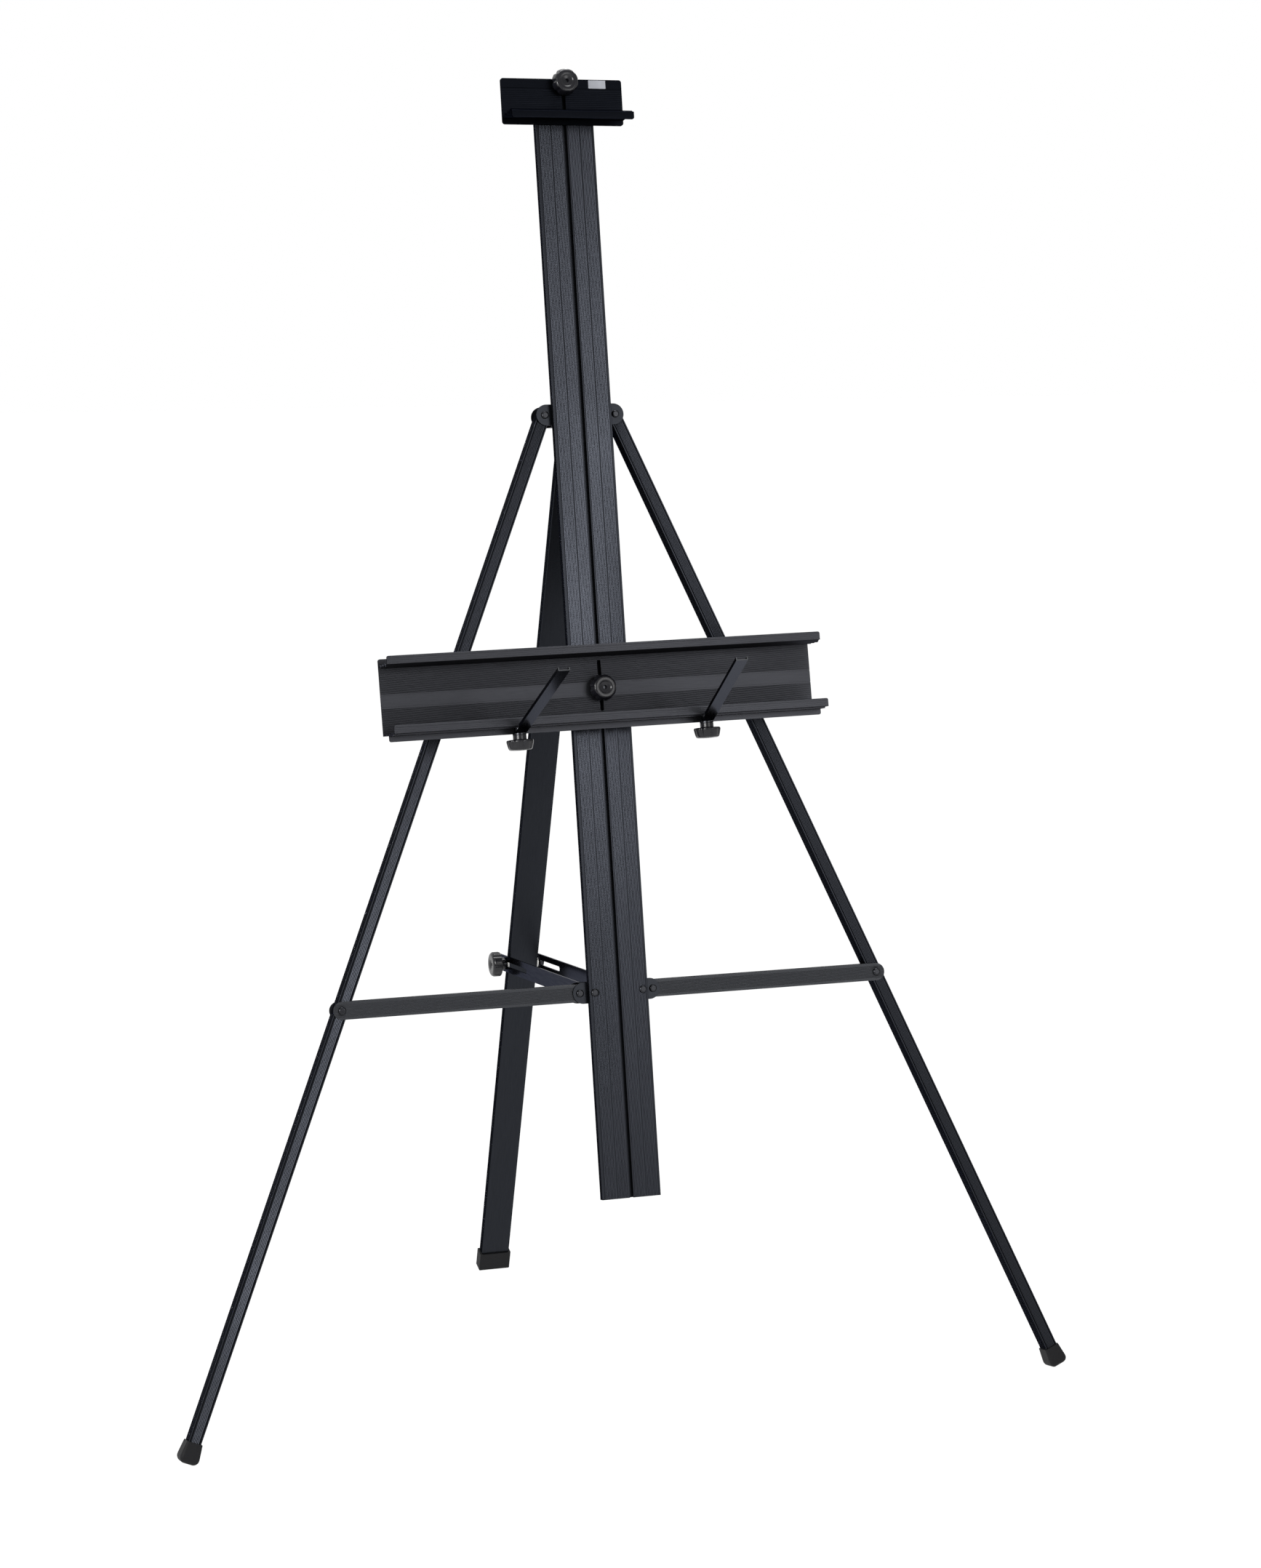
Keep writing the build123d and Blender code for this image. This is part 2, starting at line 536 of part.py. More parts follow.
def tray_bottom_ledge():
    """The lower ledge with its deeper floor and a stiffening skirt below it."""
    level = (TRAY_BOTTOM, TRAY_BOTTOM + FLOOR_THICK)
    shelf = block(TRAY_SPAN, level, (PANEL_FRONT, BOTTOM_REACH - LIP_THICK / 2))
    shelf += block(TRAY_SPAN, (TRAY_BOTTOM - STEP_DROP, TRAY_BOTTOM), (SKIRT_N, STEP_REACH))
    shelf += lip(TRAY_SPAN, TRAY_BOTTOM, BOTTOM_REACH, LIP_HEIGHT)
    skirt = block(TRAY_SPAN, (TRAY_BOTTOM - SKIRT_DROP, TRAY_BOTTOM), (SKIRT_N, SKIRT_N + 2.0))
    shelf += fillet(skirt.edges().filter_by(Axis.Z).sort_by(Axis.Y)[:2], CORNER_RADIUS)
    for side in (-1, 1):
        hole = Pos(side * ARM_BOLT_X, TRAY_BOTTOM, ARM_BOLT_N)
        shelf -= hole * Rot(90, 0, 0) * Cylinder(T_BOLT_RADIUS, 3 * FLOOR_THICK)
    return shelf


def place_tray(shape):
    """Turn a part of the tray about the tray's bolt, by the tray's tilt."""
    return Pos(0, TRAY_KNOB_LEVEL, 0) * Rot(0, 0, TRAY_TILT) * Pos(0, -TRAY_KNOB_LEVEL, 0) * shape


def t_bolt(panel_front):
    """A bolt whose square head rides in the mast's T-slot, standing out through a panel."""
    seat = panel_front + WASHER_THICK
    back = -MAST_WALL - 0.3
    head = block((-T_HEAD / 2, T_HEAD / 2), (-T_HEAD / 2, T_HEAD / 2), (back - T_HEAD_THICK, back))
    return head + disc(0, 0, (back, seat + THREAD_DEPTH), T_BOLT_RADIUS)


def tray_hardware():
    """Bolt, washer and knob that clamp the tray to the mast."""
    at = Pos(0, TRAY_KNOB_LEVEL, 0)
    seat = PANEL_FRONT + WASHER_THICK
    return {
        "tray_bolt": at * t_bolt(PANEL_FRONT),
        "tray_washer": at * Pos(0, 0, PANEL_FRONT) * washer(),
        "tray_knob": at * Pos(0, 0, seat + 0.2) * knob(),
    }


# ================================================================ support arms
def place_arm(shape, side):
    """Put a part drawn about the arm's bolt, with Z forwards and Y up, in place."""
    sign = -1 if side == "left" else 1
    return Pos(sign * ARM_BOLT_X, TRAY_BOTTOM, ARM_BOLT_N) * Rot(0, -ARM_TURN[side], 0) * shape


def under(level, shape):
    """Hang a part drawn along Z at a level below the ledge, with its Z pointing down."""
    return Pos(0, level, 0) * Rot(90, 0, 0) * shape


def arm():
    """A flat end below the ledge that bends up into a shallow channel, open on top."""
    half = ARM_WIDTH / 2
    low = -ARM_DROP
    tab = block((-half, half), (low, low + ARM_SHEET), (0, ARM_TAB))
    tab += under(low + ARM_SHEET / 2, Cylinder(half, ARM_SHEET))
    tab -= under(low + ARM_SHEET / 2, Cylinder(T_BOLT_RADIUS + HINGE_PLAY, ARM_SHEET))
    channel = block((-half, half), (0, ARM_FLANGE), (0, ARM_LENGTH))
    channel -= block((-half + ARM_SHEET, half - ARM_SHEET), (ARM_SHEET, ARM_FLANGE),
                     (0, ARM_LENGTH))
    channel -= block((-half, half), (ARM_SHEET, ARM_FLANGE), (0, ARM_BARE))
    return tab + Pos(0, low, ARM_TAB) * Rot(-ARM_RISE, 0, 0) * channel


def arm_spacer():
    """The sleeve between the ledge and an arm."""
    height = ARM_DROP - ARM_SHEET - ARM_PLAY - STEP_DROP
    return under(-STEP_DROP, washer(ARM_SPACER_RADIUS, height))


def arm_bolt():
    """The bolt that hangs from the ledge and holds an arm."""
    length = FLOOR_THICK + ARM_DROP + ARM_PLAY + ARM_WASHER_THICK + THREAD_DEPTH
    shank = Pos(0, 0, length / 2) * Cylinder(T_BOLT_RADIUS, length)
    return under(FLOOR_THICK, shank + Pos(0, 0, -1.0) * Cylinder(4.5, 2.0))


def arm_washer():
    """The thick washer between an arm and its knob."""
    return under(-ARM_DROP - ARM_PLAY, washer(KNOB_NECK_RADIUS, ARM_WASHER_THICK))


def arm_knob():
    """The knob under the ledge that clamps an arm."""
    return under(-ARM_DROP - ARM_PLAY - ARM_WASHER_THICK - 0.2, knob())


# ================================================================ top clamp
def clamp_plate():
    """The canvas holder: a rounded plate with a ledge and a hanging lip near its lower edge."""
    plate = block(CLAMP_SPAN, (CLAMP_BOTTOM, CLAMP_TOP), (PANEL_BACK, PANEL_FRONT))
    plate = fillet(plate.edges().filter_by(Axis.Z), 3.5)
    plate -= block(CLAMP_SPAN, (CLAMP_TOP - 12.6, CLAMP_TOP - 12.0),
                   (PANEL_FRONT - 0.5, PANEL_FRONT))
    hanging = folded_floor(CLAMP_SPAN, 0, CLAMP_REACH)
    hanging += lip(CLAMP_SPAN, 0, CLAMP_REACH, CLAMP_LIP_HEIGHT)
    level = CLAMP_FLOOR + FLOOR_THICK
    plate += Pos(0, level, 0) * mirror(hanging, about=Plane.XZ)
    gap = T_BOLT_RADIUS + 0.25
    plate -= block((-gap, gap), (CLAMP_SLOT_LOW, CLAMP_KNOB_LEVEL), (PANEL_BACK, PANEL_FRONT))
    plate -= disc(0, CLAMP_SLOT_LOW, (PANEL_BACK, PANEL_FRONT), gap)
    return plate - disc(0, CLAMP_KNOB_LEVEL, (PANEL_BACK, PANEL_FRONT), gap)


def place_clamp(shape):
    """Turn a part of the canvas holder about its bolt, by its tilt."""
    turn = Pos(0, CLAMP_KNOB_LEVEL, 0) * Rot(0, 0, CLAMP_TILT) * Pos(0, -CLAMP_KNOB_LEVEL, 0)
    return turn * shape


def clamp_hardware():
    """Bolt, washer and knob that clamp the canvas holder to the mast."""
    at = Pos(0, CLAMP_KNOB_LEVEL, 0)
    seat = PANEL_FRONT + WASHER_THICK
    return {
        "clamp_bolt": at * t_bolt(PANEL_FRONT),
        "clamp_washer": at * Pos(0, 0, PANEL_FRONT) * washer(),
        "clamp_knob": at * Pos(0, 0, seat + 0.2) * knob(),
    }


def clamp_label():
    """A blank plate near the clamp's upper right corner."""
    return block((33.4, 55.9), (CLAMP_TOP - 11.5, CLAMP_TOP - 1.0), (PANEL_FRONT, PANEL_FRONT + 0.4))


# ================================================================ the whole easel
def front_parts():
    """Legs, crossbars and their fittings for both sides."""
    right = {
        "leg": place_leg(leg_tube()),
        "leg_foot": place_leg(leg_foot()),
        "crossbar_rivet": place_leg(crossbar_rivet()),
        "crossbar": crossbar(),
        "crossbar_pivot": crossbar_pivot(),
        "head_front_rivet": leg_ear_rivet(HEAD_FRONT, 1),
        "head_back_rivet": leg_ear_rivet(HEAD_BACK, -1),
        "rear_hinge_rivet": rear_hinge_rivet(),
        "head_shoe": head_shoe(),
        "head_screw": head_screw(),
        "strut_bar": place_strut(strut_bar()),
        "strut_pivot": strut_pivot(),
        "strut_spacer": place_rear(strut_spacer()),
    }
    parts = {}
    for name, shape in right.items():
        parts[name + "_right"] = shape
        parts[name + "_left"] = mirrored(shape)
    return parts


def tray_parts():
    """The tray, its clamp and its two arms."""
    parts = {
        "tray_panel": tray_panel(),
        "tray_top_ledge": tray_top_ledge(),
        "tray_bottom_ledge": tray_bottom_ledge(),
    }
    parts.update(tray_hardware())
    for side in ("left", "right"):
        parts["arm_" + side] = place_arm(arm(), side)
        parts["arm_spacer_" + side] = place_arm(arm_spacer(), side)
        parts["arm_bolt_" + side] = place_arm(arm_bolt(), side)
        parts["arm_washer_" + side] = place_arm(arm_washer(), side)
        parts["arm_knob_" + side] = place_arm(arm_knob(), side)
    return {name: place_tray(shape) for name, shape in parts.items()}


def all_parts():
    """Every node of the easel, in the mast's frame."""
    parts = {
        "mast": mast(),
        "lower_bracket": lower_bracket(),
        "mast_rivet_left": mast_rivet(MAST_RIVET_X[0]),
        "mast_rivet_right": mast_rivet(MAST_RIVET_X[1]),
        "head_bracket": head_bracket(),
        "rear_leg": place_rear(rear_tube()),
        "rear_foot": place_rear(rear_foot()),
        "clamp_plate": place_clamp(clamp_plate()),
        "clamp_label": place_clamp(clamp_label()),
        "strut_bolt": place_strut(clamp_bolt()),
        "strut_knob": place_strut(strut_knob()),
    }
    parts.update(front_parts())
    parts.update(tray_parts())
    parts.update(clamp_hardware())
    return parts


def standing():
    """The place of the mast's frame on the floor, leaned back."""
    lean = radians(MAST_LEAN)
    face = Plane(origin=(0, SETBACK, PIVOT_LEVEL), x_dir=(1, 0, 0),
                 z_dir=(0, -cos(lean), sin(lean)))
    return face.location


def main():
    os.makedirs("parts", exist_ok=True)
    place = standing()
    for name, shape in all_parts().items():
        export_step(place * shape, f"parts/{name}.step")


main()
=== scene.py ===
"""Looks of the folding aluminium studio easel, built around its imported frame.

The easel's dimensions, with its ribs and knobs, are in millimetres and follow the CAD part. The
camera, the materials and the studio work in metres. Shapes are drawn in the mast's own frame
(across, up the mast, out of its face) and then leaned back into place.
"""
import json
import math

import bmesh
import bpy
from mathutils import Matrix, Vector

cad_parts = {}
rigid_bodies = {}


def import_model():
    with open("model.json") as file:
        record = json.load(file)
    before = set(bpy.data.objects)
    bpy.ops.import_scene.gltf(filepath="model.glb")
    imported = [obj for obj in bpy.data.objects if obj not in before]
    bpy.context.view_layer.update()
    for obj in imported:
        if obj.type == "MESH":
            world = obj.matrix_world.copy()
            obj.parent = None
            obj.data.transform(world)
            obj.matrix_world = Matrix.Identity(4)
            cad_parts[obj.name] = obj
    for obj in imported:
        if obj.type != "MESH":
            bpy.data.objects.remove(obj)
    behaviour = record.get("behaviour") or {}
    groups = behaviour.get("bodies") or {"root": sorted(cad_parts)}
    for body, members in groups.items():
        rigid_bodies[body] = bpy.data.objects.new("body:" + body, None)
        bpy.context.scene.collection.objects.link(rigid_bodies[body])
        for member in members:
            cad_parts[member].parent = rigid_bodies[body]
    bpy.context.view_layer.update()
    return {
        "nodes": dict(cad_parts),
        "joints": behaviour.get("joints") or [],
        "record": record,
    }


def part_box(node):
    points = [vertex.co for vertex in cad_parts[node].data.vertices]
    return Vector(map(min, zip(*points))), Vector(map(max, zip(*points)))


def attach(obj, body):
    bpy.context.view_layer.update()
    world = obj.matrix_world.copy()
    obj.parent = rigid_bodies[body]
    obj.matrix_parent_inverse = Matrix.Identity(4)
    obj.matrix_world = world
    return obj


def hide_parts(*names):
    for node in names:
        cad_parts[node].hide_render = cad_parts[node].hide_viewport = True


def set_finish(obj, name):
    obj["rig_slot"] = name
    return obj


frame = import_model()

MM = 0.001

# ---------------------------------------------------------------- camera
AZIMUTH = math.radians(-18.293)
ELEVATION = math.radians(8.665)
ROLL = math.radians(-0.234)
DISTANCE = 4.18195
TARGET = Vector((0.01631, -0.2115, 0.78318))
LENS = 77.79               # focal length in millimetres

# ---------------------------------------------------------------- the part's own dimensions
TRAY_KNOB_LEVEL = 377.8
TRAY_TILT = math.radians(0.9)
MAST_HALF = 38.1
MAST_SPAN = (-257.0, 1142.3)
TRAY_SPAN = (-282.0, 280.0)
TRAY_BOTTOM = 334.7
PANEL_FRONT = 3.3
BAND_EDGES = (369.9, 384.3)
TOP_FLOOR_LEVEL = 419.7
TOP_REACH = 48.0
BOTTOM_REACH = 59.5
LIP_HEIGHT = 10.4
CLAMP_SPAN = (-81.1, 77.1)
CLAMP_TOP = 1143.2
CLAMP_KNOB_LEVEL = 1137.0
CLAMP_TILT = math.radians(-0.35)
CLAMP_FLOOR = 1091.7
PIVOT_X = 47.8
CROSSBAR_REACH = 302.5
CROSSBAR_HEIGHT = 22.0
BAR_FRONT = -11.3
HEAD_PIVOT = (46.2, 722.8)
LEG_SPREAD = math.radians(22.818)
LEG_HALF = 8.0
LEG_FRONT = -13.2
LEG_LENGTH = 1349.34

# ---------------------------------------------------------------- ribs
RIB_PITCH = 1.8            # on the mast, legs and crossbars
TRAY_PITCH = 1.5
FAINT_PITCH = 2.4          # lines on the ledges' lips and on the canvas holder
MAST_SHARE = 0.42          # a share is half a groove's width over its pitch
BAR_SHARE = 0.38           # on the legs and crossbars
TRAY_SHARE = 0.26
FAINT_SHARE = 0.3
RIB_DEPTH = 0.42
CROSSBAR_RIB_DEPTH = RIB_DEPTH * 0.8
TRAY_RIB_DEPTH = RIB_DEPTH * 0.5
FAINT_DEPTH = 0.16
EDGE_CHAMFER = 0.45
MAST_FIELDS = ((4.0, 18.0), (19.6, 34.4))   # ribbed fields, from the mast's middle line
LEG_FIELD = 4.6            # half width of a leg's ribbed field
LEG_GROOVE_X = 6.0
LEG_GROOVE = (0.75, 1.2)   # half width and depth
BAND_MARGIN = 1.6          # bare strips beside the tray's smooth band
PANEL_MARGINS = (2.5, 1.5)     # above the panel's lower edge and below the upper ledge
LIP_MARGINS = (1.2, 1.4)       # above a lip's foot and below its top
CLAMP_MARGINS = (8.5, 14.0)    # above the canvas holder's ledge and below its top
CLAMP_GROOVE_DROP = 12.3       # from the canvas holder's top down to its main groove
CROSSBAR_MARGIN = 3.2
CROSSBAR_END = 12.0        # the ribs run this far past the pivots, off both ends


def joint(name):
    """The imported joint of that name."""
    return next(row for row in frame["joints"] if row["name"] == name)


UP = Vector(joint("head_slide")["axis"]).normalized()
OUT = Vector(joint("tray_knob_turn")["axis"]).normalized()
ACROSS = Vector((1, 0, 0))
ORIGIN = Vector(joint("tray_knob_turn")["pos_m"]) - UP * TRAY_KNOB_LEVEL * MM


def axes(across, up, out, origin):
    """The matrix that takes millimetres along three directions to metres in the scene."""
    turn = Matrix((across, up, out)).transposed().to_4x4()
    return Matrix.Translation(origin) @ turn @ Matrix.Scale(MM, 4)


MAST_FRAME = axes(ACROSS, UP, OUT, ORIGIN)


def turned(pivot, angle):
    """The mast's frame turned in its own face about a pivot."""
    return MAST_FRAME @ Matrix.Translation((*pivot, 0)) @ Matrix.Rotation(angle, 4, "Z")


def tilted(level, angle):
    """The mast's frame tilted about a bolt at a level on its middle line."""
    return turned((0, level), angle) @ Matrix.Translation((0, -level, 0))


TRAY_FRAME = tilted(TRAY_KNOB_LEVEL, TRAY_TILT)
CLAMP_FRAME = tilted(CLAMP_KNOB_LEVEL, CLAMP_TILT)


# ================================================================ meshes
def new_piece(name, mesh):
    """An object in the scene for a finished mesh."""
    piece = bpy.data.objects.new(name, mesh)
    bpy.context.scene.collection.objects.link(piece)
    return piece


def dress(piece, body, slot, *nodes):
    """Put a piece on the body it rides on, give it its material slot and hide the CAD nodes it
    stands for.
    """
    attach(piece, body)
    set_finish(piece, slot)
    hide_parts(*nodes)


def shade(mesh, angle=28):
    """Smooth shading with sharp creases above an angle in degrees."""
    shape = bmesh.new()
    shape.from_mesh(mesh)
    limit = math.radians(angle)
    for face in shape.faces:
        face.smooth = True
    for edge in shape.edges:
        edge.smooth = len(edge.link_faces) == 2 and edge.calc_face_angle(0) < limit
    shape.to_mesh(mesh)
    shape.free()


def add_cutter(shape, place, start, end, along, side, size):
    """Add one diamond-shaped bar from start to end, whose point cuts a V groove."""
    wide, deep = size
    out = Vector((0, 0, 1))
    rim = [side * wide, out * deep, side * -wide, out * -deep]
    ring_a = [shape.verts.new(place @ (start - along + corner)) for corner in rim]
    ring_b = [shape.verts.new(place @ (end + along + corner)) for corner in rim]
    for i in range(4):
        j = (i + 1) % 4
        shape.faces.new((ring_a[i], ring_a[j], ring_b[j], ring_b[i]))
    shape.faces.new(ring_a[::-1])
    shape.faces.new(ring_b)


def welded_copy(node):
    """A copy of a CAD node's mesh as one closed surface."""
    mesh = frame["nodes"][node].data.copy()
    shape = bmesh.new()
    shape.from_mesh(mesh)
    bmesh.ops.remove_doubles(shape, verts=shape.verts, dist=2e-6)
    bmesh.ops.dissolve_limit(shape, angle_limit=math.radians(0.5), verts=shape.verts,
                             edges=shape.edges)
    bmesh.ops.triangulate(shape, faces=shape.faces)
    shape.to_mesh(mesh)
    shape.free()
    if "custom_normal" in mesh.attributes:
        mesh.attributes.remove(mesh.attributes["custom_normal"])
    return mesh


def engraved(name, node, place, grooves):
    """A copy of a CAD node with V grooves cut into it.

    Each groove is (start, end, half width, depth) in the millimetres of place. It runs from
    start to end, lies in the face across "out", and both ends overshoot by a little.
    """
    piece = new_piece(name, welded_copy(node))
    shape = bmesh.new()
    for start, end, wide, deep in grooves:
        start, end = Vector(start), Vector(end)
        along = (end - start).normalized()
        side = along.cross(Vector((0, 0, 1)))
        add_cutter(shape, place, start, end, along, side, (wide, deep))
    bmesh.ops.recalc_face_normals(shape, faces=shape.faces)
    cutter_mesh = bpy.data.meshes.new(name + "_cutter")
    shape.to_mesh(cutter_mesh)
    shape.free()
    cutter = new_piece(name + "_cutter", cutter_mesh)
    cut = piece.modifiers.new("grooves", "BOOLEAN")
    cut.operation = "DIFFERENCE"
    cut.object = cutter
    cut.solver = "EXACT"
    cut.use_self = False
    bpy.context.view_layer.update()
    graph = bpy.context.evaluated_depsgraph_get()
    mesh = bpy.data.meshes.new_from_object(piece.evaluated_get(graph))
    piece.modifiers.clear()
    piece.data = mesh
    bpy.data.objects.remove(cutter)
    shade(mesh)
    return piece


def rows(low, high, pitch):
    """Evenly spaced places between two edges, half a pitch in from each."""
    count = max(1, round((high - low) / pitch))
    step = (high - low) / count
    return [low + step * (i + 0.5) for i in range(count)]


def along_up(x, span, n, wide, deep):
    """A groove that runs up the mast."""
    return ((x, span[0], n), (x, span[1], n), wide, deep)


def along_x(s, span, n, wide, deep):
    """A groove that runs across."""
    return ((span[0], s, n), (span[1], s, n), wide, deep)


# ================================================================ ribbed pieces
def ribbed_mast():
    """The mast with two ribbed fields on each side of its slot and bevelled long edges."""
    wide = RIB_PITCH * MAST_SHARE
    grooves = []
    for side in (-1, 1):
        for field in MAST_FIELDS:
            for x in rows(*field, RIB_PITCH):
                grooves.append(along_up(side * x, MAST_SPAN, 0, wide, RIB_DEPTH))
        grooves.append(along_up(side * MAST_HALF, MAST_SPAN, 0, EDGE_CHAMFER, EDGE_CHAMFER))
    piece = engraved("ribbed_mast", "mast", MAST_FRAME, grooves)
    dress(piece, "mast", "mast_metal", "mast")


def ribbed_panel():
    """The tray's back plate with ribs above and below its smooth band."""
    low, high = PANEL_MARGINS
    levels = rows(BAND_EDGES[1] + BAND_MARGIN, TOP_FLOOR_LEVEL - high, TRAY_PITCH)
    levels += rows(TRAY_BOTTOM + low, BAND_EDGES[0] - BAND_MARGIN, TRAY_PITCH)
    wide = TRAY_PITCH * TRAY_SHARE
    grooves = [along_x(s, TRAY_SPAN, PANEL_FRONT, wide, TRAY_RIB_DEPTH) for s in levels]
    piece = engraved("ribbed_panel", "tray_panel", TRAY_FRAME, grooves)
    dress(piece, "tray", "tray_metal", "tray_panel")


def lined_ledge(name, node, level, reach):
    """A ledge with faint lines along the front of its lip."""
    low, high = LIP_MARGINS
    levels = rows(level + low, level + LIP_HEIGHT - high, FAINT_PITCH)
    wide = FAINT_PITCH * FAINT_SHARE
    grooves = [along_x(s, TRAY_SPAN, reach, wide, FAINT_DEPTH) for s in levels]
    piece = engraved(name, node, TRAY_FRAME, grooves)
    dress(piece, "tray", "tray_metal", node)


def lined_clamp():
    """The canvas holder with a bevelled top edge and main groove, and faint lines below them."""
    low, high = CLAMP_MARGINS
    levels = rows(CLAMP_FLOOR + low, CLAMP_TOP - high, FAINT_PITCH)
    wide = FAINT_PITCH * FAINT_SHARE
    grooves = [along_x(s, CLAMP_SPAN, PANEL_FRONT, wide, FAINT_DEPTH) for s in levels]
    for s in (CLAMP_TOP, CLAMP_TOP - CLAMP_GROOVE_DROP):
        grooves.append(along_x(s, CLAMP_SPAN, PANEL_FRONT, EDGE_CHAMFER, EDGE_CHAMFER))
    piece = engraved("lined_clamp", "clamp_plate", CLAMP_FRAME, grooves)
    dress(piece, "clamp", "clamp_metal", "clamp_plate")


def ribbed_leg(side, name):
    """A leg with a deep groove near each front edge and ribs between them."""
    place = turned((side * HEAD_PIVOT[0], HEAD_PIVOT[1]), side * LEG_SPREAD)
    span = (-LEG_LENGTH, LEG_HALF)
    grooves = []
    for x in rows(-LEG_FIELD, LEG_FIELD, RIB_PITCH):
        grooves.append(along_up(x, span, LEG_FRONT, RIB_PITCH * BAR_SHARE, RIB_DEPTH))
    for x in (-LEG_GROOVE_X, LEG_GROOVE_X):
        grooves.append(along_up(x, span, LEG_FRONT, *LEG_GROOVE))
    piece = engraved("ribbed_" + name, name, place, grooves)
    dress(piece, name, "leg_metal", name)


def ribbed_crossbar(side, name):
    """A crossbar with ribs along its front face."""
    inner, outer = PIVOT_X - CROSSBAR_END, PIVOT_X + CROSSBAR_REACH + CROSSBAR_END
    span = sorted((side * inner, side * outer))
    half = CROSSBAR_HEIGHT / 2
    levels = rows(-half + CROSSBAR_MARGIN, half - CROSSBAR_MARGIN, RIB_PITCH)
    wide = RIB_PITCH * BAR_SHARE
    grooves = [along_x(s, span, BAR_FRONT, wide, CROSSBAR_RIB_DEPTH) for s in levels]
    piece = engraved("ribbed_" + name, name, MAST_FRAME, grooves)
    dress(piece, name, "crossbar_metal", name)


# ================================================================ knobs
KNOB_LOBES = 8
KNOB_STEPS = 16
# radius and height of the knob's outline, and how deep its flutes are there
KNOB_OUTLINE = (
    (2.3, 7.5, 0.0), (2.3, 16.2, 0.0), (2.6, 16.7, 0.0), (3.6, 17.0, 0.0), (5.6, 17.4, 0.0),
    (7.4, 17.9, 0.0), (7.8, 18.3, 0.0), (8.3, 18.5, 0.0), (11.6, 18.5, 0.02), (12.9, 18.3, 0.06),
    (13.9, 17.7, 0.14), (14.7, 16.6, 0.35), (15.2, 15.2, 0.6), (15.7, 13.2, 0.85),
    (16.3, 10.4, 1.0), (16.75, 8.2, 1.0), (16.7, 7.0, 1.0), (16.2, 6.2, 0.95),
    (15.0, 5.75, 0.8), (11.5, 5.6, 0.3), (8.9, 5.5, 0.0), (8.45, 5.1, 0.0), (8.4, 0.35, 0.0),
    (8.1, 0.02, 0.0), (2.3, 0.0, 0.0),
)
FLUTE_DEPTH = 1.5
FLUTE_SHARPNESS = 1.6      # above 1 the flutes are narrower than the lobes between them
KNOB_CREASE = 40           # degrees; gentler edges than this are shaded smooth
KNOB_SEAT = 4.7            # from the mast's face to the neck of the two knobs in front of it
ARM_KNOB_SEAT = 10.6       # from the ledge down to the neck of an arm's knob


def knob_mesh(name, place):
    """A fluted knob on its axis: a revolved outline whose radius dips between the lobes."""
    shape = bmesh.new()
    around = KNOB_LOBES * KNOB_STEPS
    rings = []
    for radius, height, share in KNOB_OUTLINE:
        ring = []
        for i in range(around):
            angle = 2 * math.pi * i / around
            dip = max(0.0, math.cos(angle * KNOB_LOBES)) ** FLUTE_SHARPNESS * FLUTE_DEPTH * share
            r = radius - dip
            ring.append(shape.verts.new(place @ Vector((r * math.cos(angle),
                                                        r * math.sin(angle), height))))
        rings.append(ring)
    rings.append(rings[0])
    for lower, upper in zip(rings, rings[1:]):
        for i in range(around):
            j = (i + 1) % around
            shape.faces.new((lower[i], lower[j], upper[j], upper[i]))
    bmesh.ops.recalc_face_normals(shape, faces=shape.faces)
    mesh = bpy.data.meshes.new(name)
    shape.to_mesh(mesh)
    shape.free()
    shade(mesh, KNOB_CREASE)
    return mesh


def knob(node, joint_name, seat, down=False):
    """The knob that stands for a CAD node, on its joint's axis."""
    row = joint(joint_name)
    axis = Vector(row["axis"]).normalized()
    if down:
        axis = -axis
    side = (ACROSS - axis * ACROSS.dot(axis)).normalized()
    place = axes(side, axis.cross(side), axis, Vector(row["pos_m"]) + axis * seat * MM)
    piece = new_piece("fluted_" + node, knob_mesh("fluted_" + node, place))
    dress(piece, node, "knob_plastic", node)


# ================================================================ materials
def material(name):
    """A new material with its node tree and its main shader."""
    made = bpy.data.materials.new(name)
    made.use_nodes = True
    return made, made.node_tree, made.node_tree.nodes["Principled BSDF"]


def turned_coordinates(tree, along, scale):
    """Object coordinates with Z along a direction, then stretched by a scale per axis."""
    spot = tree.nodes.new("ShaderNodeTexCoord")
    turn = tree.nodes.new("ShaderNodeMapping")
    turn.inputs["Rotation"].default_value = along.to_track_quat("Z", "Y").inverted().to_euler()
    stretch = tree.nodes.new("ShaderNodeMapping")
    stretch.inputs["Scale"].default_value = scale
    tree.links.new(spot.outputs["Object"], turn.inputs["Vector"])
    tree.links.new(turn.outputs["Vector"], stretch.inputs["Vector"])
    return stretch.outputs["Vector"]


def noise(tree, vector, scale, detail):
    """A noise texture's value."""
    made = tree.nodes.new("ShaderNodeTexNoise")
    made.inputs["Scale"].default_value = scale
    made.inputs["Detail"].default_value = detail
    tree.links.new(vector, made.inputs["Vector"])
    return made.outputs["Fac"]


def spread(tree, value, low, high, source=(0.3, 0.7)):
    """Map a value from its source range onto the range low to high."""
    made = tree.nodes.new("ShaderNodeMapRange")
    made.inputs["From Min"].default_value = source[0]
    made.inputs["From Max"].default_value = source[1]
    made.inputs["To Min"].default_value = low
    made.inputs["To Max"].default_value = high
    tree.links.new(value, made.inputs["Value"])
    return made.outputs["Result"]


def blended(tree, value, dark, light):
    """A colour between two, by a value."""
    made = tree.nodes.new("ShaderNodeMix")
    made.data_type = "RGBA"
    made.inputs["A"].default_value = (*dark, 1)
    made.inputs["B"].default_value = (*light, 1)
    tree.links.new(value, made.inputs["Factor"])
    return made.outputs["Result"]


def either_side(colour, contrast):
    """A darker and a lighter shade of a colour."""
    return [c * (1 - contrast) for c in colour], [c * (1 + contrast) for c in colour]


